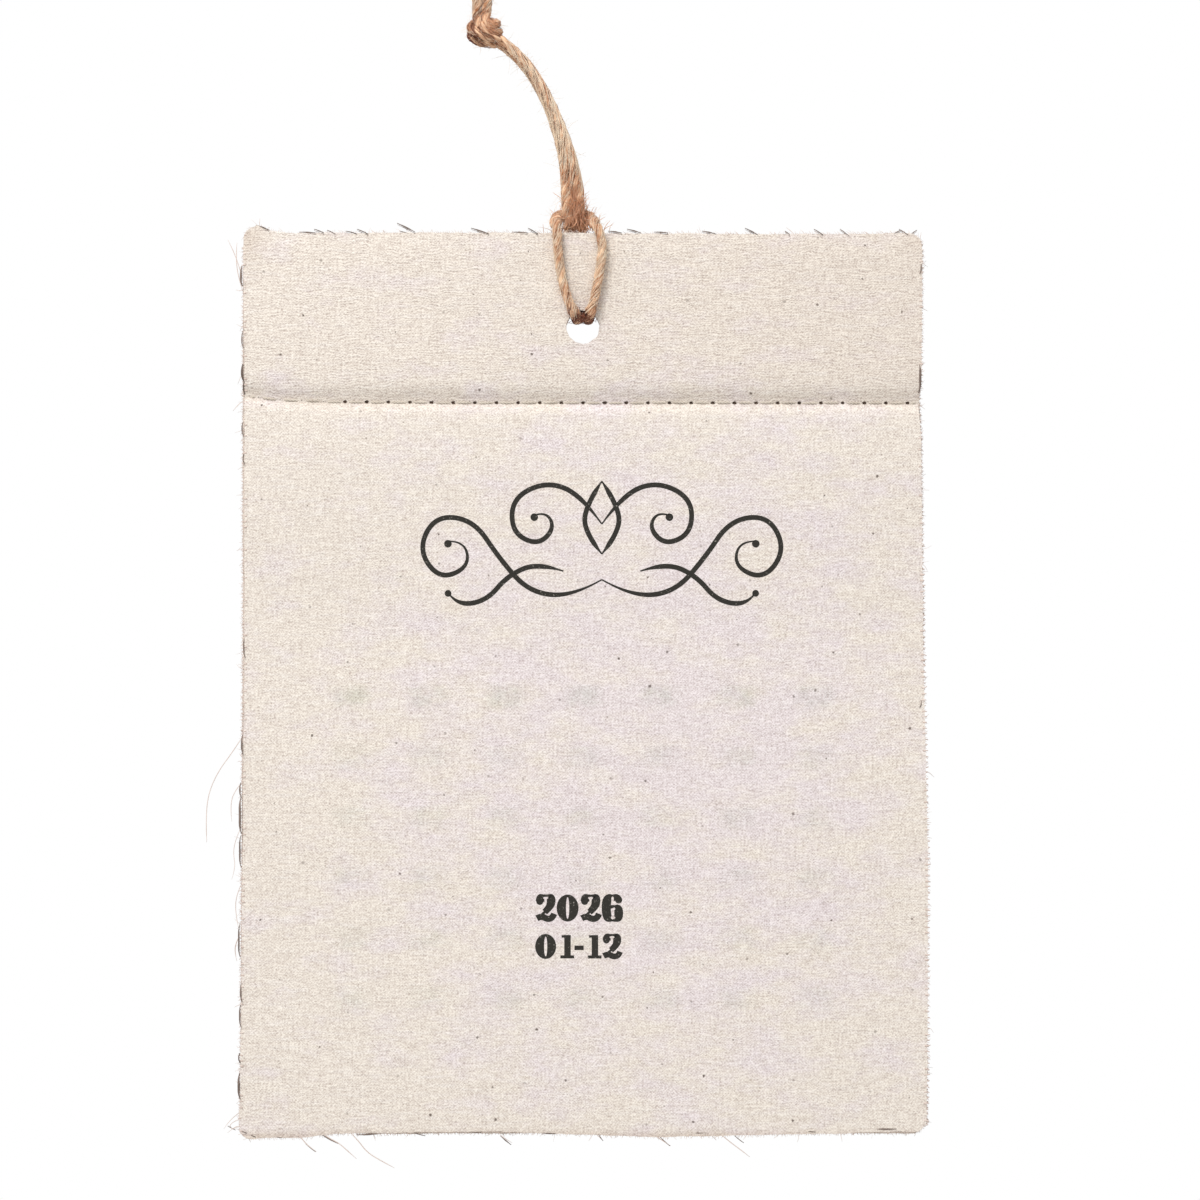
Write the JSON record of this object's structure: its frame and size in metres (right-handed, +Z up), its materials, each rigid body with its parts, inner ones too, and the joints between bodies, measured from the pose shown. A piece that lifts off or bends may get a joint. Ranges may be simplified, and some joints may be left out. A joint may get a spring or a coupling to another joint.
{
  "type": "wall calendar",
  "caption": "Hanging cloth wall calendar: printed cover leaf that turns up at a sewn seam, block of month leaves behind it, and a doubled twine hitched through a punched hole.",
  "frame": {"origin": "middle of the back on the wall plane, on the sheet's vertical centre line and at half its height", "axes": "+Z up the sheet, -Y out of the wall towards the viewer, +X to the viewer's right"},
  "size_m": [0.1616, 0.0113, 0.2745],
  "materials": {
    "cloth": "raw-edged unbleached cotton",
    "cover_cloth": "raw-edged unbleached cotton, printed in charcoal",
    "sewing_thread": "cream cotton thread",
    "jute": "natural two-ply jute"
  },
  "bodies": {
    "calendar_pad": {"month_leaves": "cloth", "cover_header": "cover_cloth", "needle_thread": "sewing_thread", "bobbin_thread": "sewing_thread", "hanging_twine": "jute", "twine_knot": "jute", "twine_ends": "jute"},
    "cover": {"front_cover": "cover_cloth"}
  },
  "joints": [
    {"name": "cover_turn", "type": "hinge", "parent": "calendar_pad", "child": "cover", "pos_m": [0, -0.008, 0.0646], "axis": [-1, 0, 0], "range_deg": [0, 165]}
  ]
}
